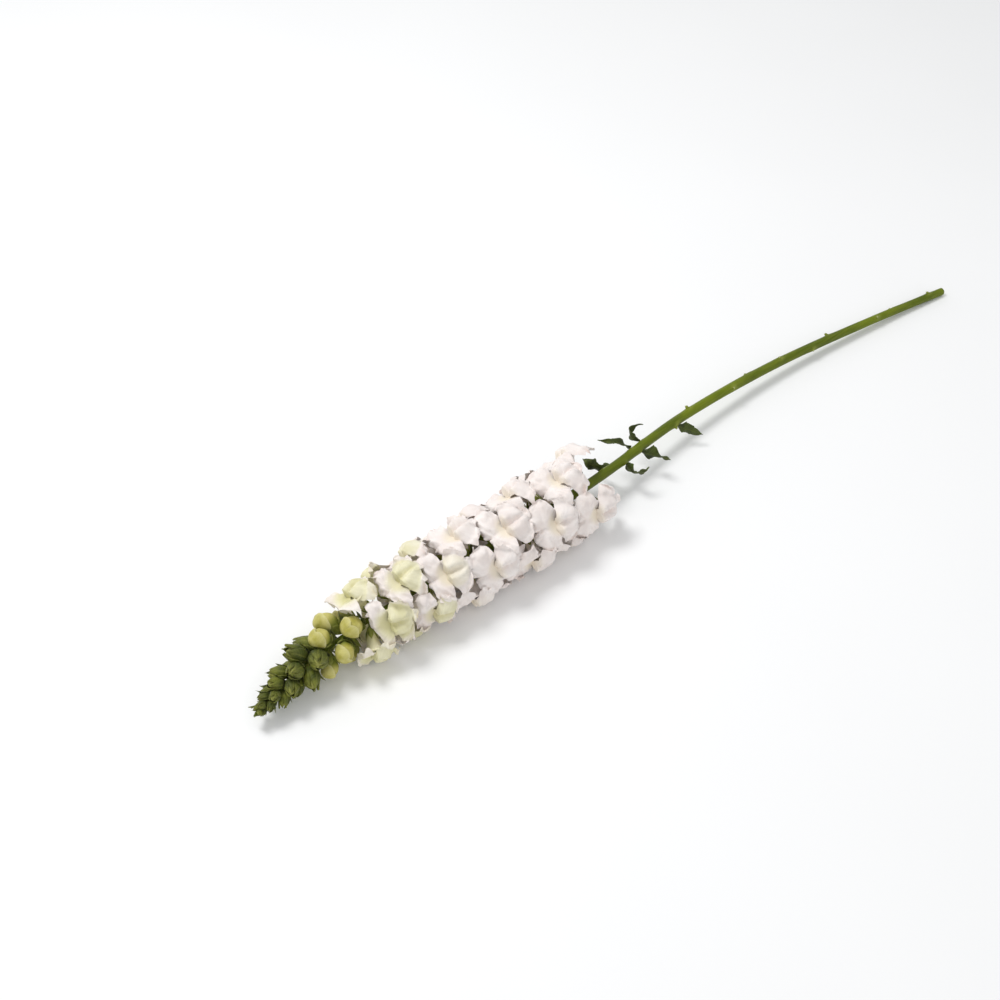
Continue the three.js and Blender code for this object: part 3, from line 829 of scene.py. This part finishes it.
def bud_petals(flower):
    """A shut bud: an egg for the lower lip, and the upper lip folded over it like a hood."""
    length, n = flower.length, flower.number

    def on_egg(turn, share, lift):
        chin = bell(wrapped(turn - math.pi), 0.3) * smoothstep(share, 0.5, 0.75)
        chin = chin * smoothstep(share, 1.0, 0.86)
        uneven = 0.025 * waves(turn + share * 3, n, TRAIT.egg, (2, 3, 5))
        girth = BUD_RADIUS(share) * (1 - 0.1 * chin + uneven) * BUD_GIRTH * length
        girth = girth + lift * smoothstep(share, 1.0, 0.85)
        out = share * length + lift * smoothstep(share, 0.7, 1.0)
        fold = 0.16 * length * np.maximum(0, share - 0.5)
        return seat(flower, np.cos(turn) * girth + fold, np.sin(turn) * girth, out + SEAT_GAP)

    def egg(turn, way):
        share = closer_at_ends(way)
        marks = {"foot": smoothstep(share, 0.85, 0.2), "fold": 0.0, "ray": turn}
        return on_egg(turn, share, -0.3), marks

    def hood(turn, way):
        edge, face = faces(way)
        # The outline, as angles from a spot above the bud's middle, seen from inside the bud.
        cleft = 0.2 * bell(wrapped(turn), 0.22)
        uneven = 0.07 * waves(turn, n, TRAIT.hood, (2, 3, 5, 8))
        outline = 1.3 + 0.1 * np.sin(turn) ** 2 - cleft + uneven
        reach = edge * outline
        ways = np.cos(turn), np.sin(turn)
        tilt = math.radians(46 + spread(n, TRAIT.tilt, 8))
        ahead = np.cos(reach) * math.cos(tilt) + np.sin(reach) * ways[0] * math.sin(tilt)
        above = np.cos(reach) * math.sin(tilt) - np.sin(reach) * ways[0] * math.cos(tilt)
        share = 0.5 + 0.5 * np.clip(ahead, -1, 1)
        round_it = np.arctan2(np.sin(reach) * ways[1], above)
        seam = bell(reach * ways[1], 0.09) * smoothstep(reach * ways[0], -0.1, 0.9)
        lift = 0.25 + 0.75 * edge**5 + 0.22 * np.sign(face) * np.sqrt(np.abs(face)) - 0.6 * seam
        marks = {
            "foot": smoothstep(share, 0.7, 0.15),
            "fold": 0.9 * edge**8,
            "ray": reach * ways[1],
        }
        return on_egg(round_it, share, lift * flower.size), marks

    return [shaped(40, 26, egg), shaped(48, 24, hood)]


def cup_of(flower):
    """How deep the sepals' cup is, how high it stands, and the petals' radii at both."""
    if flower.kind == "open":
        sizes = TUBE_BASE.out, OPEN_CUP.height, TUBE_BASE.radius, OPEN_CUP.radius
        return tuple(value * flower.size for value in sizes)
    greatest = BUD_GIRTH * flower.length
    return 0.2 * flower.length, flower.cover * flower.length, 0.66 * greatest, greatest


def sepal(flower, which):
    """One of the sepals that hold a flower: a small pointed blade that hugs the petals."""
    size = min(flower.size, 1)
    depth, height, low, high = cup_of(flower)
    base = -1.0 * size
    reach = height + (4.2 if flower.kind == "open" else 0.8) * size
    around = 2 * math.pi * (which / SEPALS)
    half_width = math.pi / SEPALS
    thick = 0.45 * size + 0.2
    flare = (0.5 + spread(flower.number * SEPALS + which, TRAIT.flare, 0.45)) * size

    def form(turn, way):
        share = closer_at_ends(way)
        out = lerp(base, reach, share)
        petals = np.interp(out, [base, depth, height, reach], [0.9 * size, low, high, high])
        taper = np.sin(math.pi * np.clip(0.12 + 0.88 * share, 0, 1)) ** 0.7 * (1 - share**6)
        across, side = np.cos(turn), np.sin(turn)
        middle = petals + 0.5 * SEAT_GAP + thick * 0.6 + flare * share**3
        middle = middle + 0.25 * size * (1 - np.abs(across))
        radius = middle + 0.5 * thick * side * np.sqrt(np.clip(taper, 0.02, 1))
        place = around + across * half_width * taper
        marks = {"along": share, "across": across}
        return seat(flower, np.cos(place) * radius, np.sin(place) * radius, out), marks

    return shaped(10, 8, form)


def bract(flower):
    """The small pointed leaf under a flower's stalk."""
    size = min(flower.size, 1)
    if flower.kind == "open":
        long = lerp(15, 9, flower.youth) * size
        under = line([(0, 1.4), (0.3, 4.0), (0.7, 6.4), (1, 8.4)])
    else:
        grown = 1 + spread(flower.number, TRAIT.bract_length, 0.15)
        long = min(1.15 * flower.length, 13) * grown
        girth = 0.37 * flower.length / size
        away = 1.5 + spread(flower.number, TRAIT.bract_flare, 0.3)
        under = line([(0, 0.3 * girth), (0.35, girth), (0.7, 1.15 * girth), (1, away * girth)])
    start = 0.8 * float(stem_radius(flower.distance)) - flower.root
    lean = spread(flower.number, TRAIT.sideways, 0.12)

    def form(turn, way):
        share = closer_at_ends(way)
        taper = np.sin(math.pi * np.clip(0.16 + 0.84 * share, 0, 1)) ** 0.8
        across, side = np.cos(turn), np.sin(turn)
        half = (0.18 if flower.kind == "open" else 0.25) * long * taper
        down = under(share) * size - 0.25 * half * across**2
        down = down + 0.22 * side * np.sqrt(np.clip(taper, 0.02, 1))
        width = across * half + lean * long * share
        return seat(flower, -down, width, start + long * share), {"along": share, "across": across}

    return shaped(10, 8, form)


def flower_stalk(flower):
    """The short stalk that widens under the sepals."""
    size = min(flower.size, 1)
    depth, _, low, _ = cup_of(flower)
    root = 0.45 * float(stem_radius(flower.distance)) - flower.root
    stations = np.array([  # distance out, radius
        [root - 0.1, 0.0],
        [root, max(0.6, 1.35 * size)],
        [root * 0.5, max(0.55, 1.1 * size)],
        [-1.6 * size, max(0.55, 1.15 * size)],
        [0.2 * depth, 0.6 * (low + 0.8)],
        [depth, low + 0.35],
        [depth * 0.9, low * 0.5],
        [depth * 0.25, 0.0],
    ])

    def form(turn, way):
        out, radius = through(stations, way).T
        radius = np.where((way == 0) | (way == 1), 0, np.maximum(radius, 0.1))
        marks = {"along": 0.0, "across": 0.5}
        return seat(flower, np.cos(turn) * radius, np.sin(turn) * radius, out), marks

    return shaped(10, 12, form)


def bud_heart(flower):
    """The petals inside a bud that is still shut in its sepals."""
    length = flower.length
    root = 0.4 * float(stem_radius(flower.distance)) - flower.root
    stations = np.array([  # distance out, radius
        [root - 0.1, 0], [root, 0.1 * length], [0, 0.14 * length], [0.3 * length, 0.28 * length],
        [0.6 * length, 0.28 * length], [0.85 * length, 0.15 * length], [0.96 * length, 0],
    ])

    def form(turn, way):
        out, radius = through(stations, way).T
        radius = np.where((way == 0) | (way == 1), 0, np.maximum(radius, 0.3))
        marks = {"along": way, "across": 0.5}
        return seat(flower, np.cos(turn) * radius, np.sin(turn) * radius, out), marks

    return shaped(12, 12, form)


def shut_sepal(flower, which):
    """One of the sepals that are still closed over a green bud."""
    length, own = flower.length, flower.number * SEPALS + which
    around = 2 * math.pi * (which / SEPALS + 0.05) + spread(own, TRAIT.turn, 0.12)
    reach = (1.04 + spread(own, TRAIT.reach, 0.1)) * length
    tip = 0.06 + max(spread(own, TRAIT.tip, 0.14), -0.03)
    girth = line([(0, 0.13), (0.22, 0.3), (0.48, 0.345), (0.74, 0.25), (1.0, tip)])

    def form(turn, way):
        share = closer_at_ends(way)
        out = share * reach
        taper = np.sin(math.pi * np.clip(0.24 + 0.76 * share, 0, 1)) ** lerp(0.5, 0.9, share**2)
        across, side = np.cos(turn), np.sin(turn)
        lift = 0.035 * (1 - across**2) + 0.03 * across
        place = around + across * 0.9 * taper
        radius = (girth(share) + lift + 0.028 * side) * length
        marks = {"along": share, "across": across}
        return seat(flower, np.cos(place) * radius, np.sin(place) * radius, out), marks

    return shaped(10, 8, form)


# ---- The stem ----

def scar_places():
    """The number, distance and angle of each scar. There are none on the stem's underside."""
    distance, i, places = SCARS.start, 0, []
    while distance < SCARS.end:
        angle = SCARS.first_angle + i * GOLDEN_ANGLE
        if math.sin(math.radians(angle)) >= SCARS.lowest:
            places.append((i, distance, angle))
        distance += SCARS.step * (1 + spread(i, TRAIT.stub_gap, 0.25))
        i += 1
    return places


NODES = [place[1:] for place in scar_places()] + [(leaf[0], leaf[1]) for leaf in LEAVES]


def swelling(distance, turn):
    """How much the stem swells round the foot of a leaf or a scar, from 0 to 1."""
    total = np.zeros(np.broadcast(distance, turn).shape)
    for at, angle in NODES:
        total += bell(distance - at, 4.5) * bell(wrapped(turn - math.radians(angle)), 0.9)
    return np.minimum(total, 1)


def stalk():
    """The round ribbed stalk, with knots where leaves grow or grew. The first rings of the ball
    make its flat cut end, and the last ones its rounded tip."""
    lid, lid_share, rings = 5, 0.985, 560
    length = STEM_LENGTH + STALK_TIP.beyond

    def form(turn, way):
        ring = way * rings
        rounded = np.clip(ring / lid, 0, 1) * np.where(ring >= lid, 1, lid_share)
        distance = np.clip((ring - lid) / (rings - lid), 0, 1) * length
        swell = swelling(distance, turn)
        ribs = 0.06 * np.cos(turn * 5 + distance * 0.011) + 0.03 * np.cos(turn * 8 - distance * 0.02)
        uneven = 0.06 * np.sin(distance * 0.09) * np.sin(distance * 0.037 + 1)
        bulge = STALK_BULGE.height * bell(distance - STALK_BULGE.middle, STALK_BULGE.half_length)
        radius = stem_radius(distance) * STALK_SKIN + ribs + uneven + bulge + 0.5 * swell
        end = np.sqrt(np.clip((length - distance) / STALK_TIP.rounding, 0, 1))
        tear = np.where(ring < lid, 0.25 * np.sin(turn * 3 + 1) * ring / lid, 0)
        marks = {
            "cut": np.where(ring < lid, 1 - 0.25 * (ring / lid) ** 4, 0),
            "knot": swell**2,
            "along": distance / STEM_LENGTH,
            "ray": turn,
        }
        return settle(on_stem(distance + tear, np.degrees(turn), radius * rounded * end)), marks

    return shaped(40, rings, form)


def scar(i, distance, angle):
    """The torn stub that a stripped leaf leaves."""
    height = 2.4 + spread(i, TRAIT.stub_height, 0.6)
    radius = float(stem_radius(distance))
    stations = np.array([  # distance from the axis, shift, half width, half length
        [radius * 0.5, 0, 0, 0],
        [radius * 0.7, 0, 1.9, 3.8],
        [radius + 0.15, 0.4, 1.7, 2.6],
        [radius + 0.8, 1, 1.45, 1.9],
        [radius + 0.6 * height, 1.4, 1.25, 1.4],
        [radius + height, 1.8, 1.05, 1.05],
        [radius + height + 0.15, 2.2, 0, 0],
    ])

    def form(turn, way):
        far, shift, wide, long = through(stations, way).T
        end = (way == 0) | (way == 1)
        ragged = np.where(way > 0.7, 0.4 * waves(turn, i, TRAIT.torn, (2, 3, 5)), 0)
        wide, long = (np.where(end, 0, np.maximum(v, 0.05)) for v in (wide, long))
        place = on_stem(distance + shift + np.cos(turn) * long, angle, far + ragged,
                        np.sin(turn) * wide)
        marks = {
            "cut": 0.55 * smoothstep(way, 0.8, 0.95),
            "knot": 0.4 + 0.6 * smoothstep(way, 0.3, 0.8),
            "along": distance / STEM_LENGTH,
            "ray": turn,
        }
        return settle(place), marks

    return shaped(18, 16, form)


# ---- Leaves ----

def leaf(number, at, angle, length, width, stand, curl, twist):
    """A narrow toothed leaf, folded along its midrib, that curls and twists. Its foot runs into
    the stem."""
    steps, foot = 160, 1.6
    sideways = on_stem(0, angle, 0, 1)
    forward = turned(np.array([1.0, 0, 0]), sideways, stand)
    upward = turned(on_stem(0, angle, 1), sideways, stand)
    across = sideways.copy()
    middle = on_stem(at, angle, float(stem_radius(at)) + 1.5 * SEAT_GAP)
    frames = []
    for _ in range(steps + 1):
        frames.append((middle.copy(), across, upward))
        middle = middle + forward * length / steps
        forward, upward = (turned(v, across, curl / steps) for v in (forward, upward))
        across, upward = (turned(v, forward, twist / steps) for v in (across, upward))
    middles, acrosses, upwards = (np.array(v) for v in zip(*frames))

    def form(turn, way):
        share = closer_at_ends(way) * (1 + foot / length) - foot / length
        k = np.rint(np.maximum(share, 0) * steps).astype(int)
        blade = np.clip(share, 0, 1)
        taper = np.sin(math.pi * np.clip(0.12 + 0.86 * blade**0.85, 0, 1)) ** lerp(0.6, 1.3, blade)
        taper = taper * np.sqrt(np.clip((1 - blade) / 0.02, 0, 1))
        taper = np.where(share < 0, 0.8 / (width / 2) * np.sqrt(np.clip(way / 0.03, 0, 1)), taper)
        side = np.cos(turn)
        phase = spread(number * 3 + 1, TRAIT.teeth, math.pi) + np.sign(side)
        saw = (blade * LEAF_TEETH + phase) % 1
        teeth = 1.04 + 0.2 * (saw**2 - 0.3) * np.abs(side) ** 3 * smoothstep(blade, 0.02, 0.15)
        half = width / 2 * taper * teeth
        cross = np.sign(side) * np.abs(side) ** 0.8
        wave = 0.5 * half * np.sin(blade * 10 + phase * 2) * np.abs(cross) ** 2
        wave = wave + 0.4 * np.sin(blade * 15 + cross * 1.5 + number) * smoothstep(blade, 0.05, 0.3)
        thick = 0.3 * np.sign(np.sin(turn)) * np.sqrt(np.abs(np.sin(turn))) * (0.5 + 0.5 * taper)
        rib = -0.3 * bell(cross, 0.14) * (np.sin(turn) > 0)
        rise = LEAF_FOLD * half * np.abs(cross) + wave + thick + rib
        place = middles[k] + acrosses[k] * (cross * half)[:, None] + upwards[k] * rise[:, None]
        inward = np.minimum(share, 0) * length
        place = place + (middles[1] - middles[0]) * (inward * steps / length)[:, None]
        return settle(place), {"along": blade, "across": side}

    return shaped(28, 64, form)


# ---- Assembly ----

PETAL, YOUNG_PETAL = petal_finish("petal"), petal_finish("young_petal")
BUD = bud_finish()
STALK = stem_finish()
SEPAL = green_finish("sepal_green", 0x38420c, 0x6a7020, 0x989848)
# The open flowers' sepals and stalks get a paler green than the sepals at the tip. This is painted
# light: it stands in for the light that comes through the petals into the gaps between the florets.
CUP_GREEN_PAINTED_LIGHT = green_finish("cup_green_painted_light", 0x5a661a, 0x8c923a, 0xb0b064)
HEART = green_finish("bud_heart", 0x747c30, 0x929444, 0xaaa85c)
LEAF = green_finish("leaf_green", 0x262e08, 0x46521a, 0x6a7434)

hearts, shut_sepals, cup_sepals, stalks, bracts = [], [], [], [], []
for flower in FLOWERS:
    bracts.append(bract(flower))
    if flower.kind == "green":
        hearts.append(bud_heart(flower))
        shut_sepals += [shut_sepal(flower, which) for which in range(SEPALS)]
        continue
    stalks.append(flower_stalk(flower))
    cup_sepals += [sepal(flower, which) for which in range(SEPALS)]
    if flower.kind == "open":
        name = f"floret_{flower.number + 1:02d}"
        white = flower.number < WHITE_FLORETS
        look, slot = (PETAL, "petal") if white else (YOUNG_PETAL, "young_petal")
        piece(f"open_{name}", [tube(flower), upper_lip(flower), lower_lip(flower)], look, slot, name)
    else:
        name = f"bud_{flower.number - OPEN_FLORETS + 1:02d}"
        piece(f"shut_{name}", bud_petals(flower), BUD, "bud", name)

piece("stalk", [stalk(), *(scar(*place) for place in scar_places())], STALK, "stem", "stem")
piece("sepals", stalks + cup_sepals, CUP_GREEN_PAINTED_LIGHT, "stem", "stem")
piece("bracts", bracts, SEPAL, "stem", "stem")
piece("tip_buds", hearts, HEART, "stem", "stem")
piece("tip_sepals", shut_sepals, SEPAL, "stem", "stem")
for number, values in enumerate(LEAVES, 1):
    name = f"leaf_{number:02d}"
    piece(f"toothed_{name}", [leaf(number, *values)], LEAF, "leaf", name)

# ---- Floor, light and camera ----

bpy.ops.object.select_all(action="DESELECT")
bpy.ops.mesh.primitive_plane_add(size=12, location=(0, 0, 0))
floor = bpy.context.object
floor.name = "floor"
paper = Finish("floor_white", Specular_IOR_Level=0.1)
tone = paper.mix(paper.noise(3, 2), colour(0xf6f6f6), colour(0xfafafa))
floor.data.materials.append(paper.wear(Base_Color=tone, Roughness=0.9 + paper.noise(40) * 0.05))

world = bpy.data.worlds.new("soft_white")
world.use_nodes = True
background = world.node_tree.nodes["Background"].inputs
background["Color"].default_value = (0.98, 0.99, 1.0, 1)
background["Strength"].default_value = 0.67
bpy.context.scene.world = world
bpy.context.scene.view_settings.view_transform = "Standard"


def softbox(name, place, size, power):
    """A round soft lamp that points at the middle of the stem's flowers."""
    lamp = bpy.data.lights.new(name, "AREA")
    lamp.shape, lamp.size, lamp.energy = "DISK", size, power
    holder = bpy.data.objects.new(name, lamp)
    bpy.context.scene.collection.objects.link(holder)
    holder.location = place
    ahead = Vector((-0.1, 0.05, 0)) - Vector(place)
    holder.rotation_euler = ahead.to_track_quat("-Z", "Y").to_euler()


softbox("key", place=(-0.5, 0.7, 1.7), size=0.7, power=16.5)
softbox("fill", place=(-0.9, -1.2, 1.2), size=1.2, power=2)

azimuth, elevation, distance = math.radians(-40.6), math.radians(45), 1.2
target = Vector((-0.1142, 0.0564, 0))
back = Vector((
    math.sin(azimuth) * math.cos(elevation),
    -math.cos(azimuth) * math.cos(elevation),
    math.sin(elevation),
))
lens = bpy.data.cameras.new("camera")
lens.lens, lens.sensor_width, lens.clip_start = 51.3, 36, 0.01
camera = bpy.data.objects.new("camera", lens)
bpy.context.scene.collection.objects.link(camera)
camera.location = target + back * distance
camera.rotation_euler = (-back).to_track_quat("-Z", "Y").to_euler()
bpy.context.scene.camera = camera
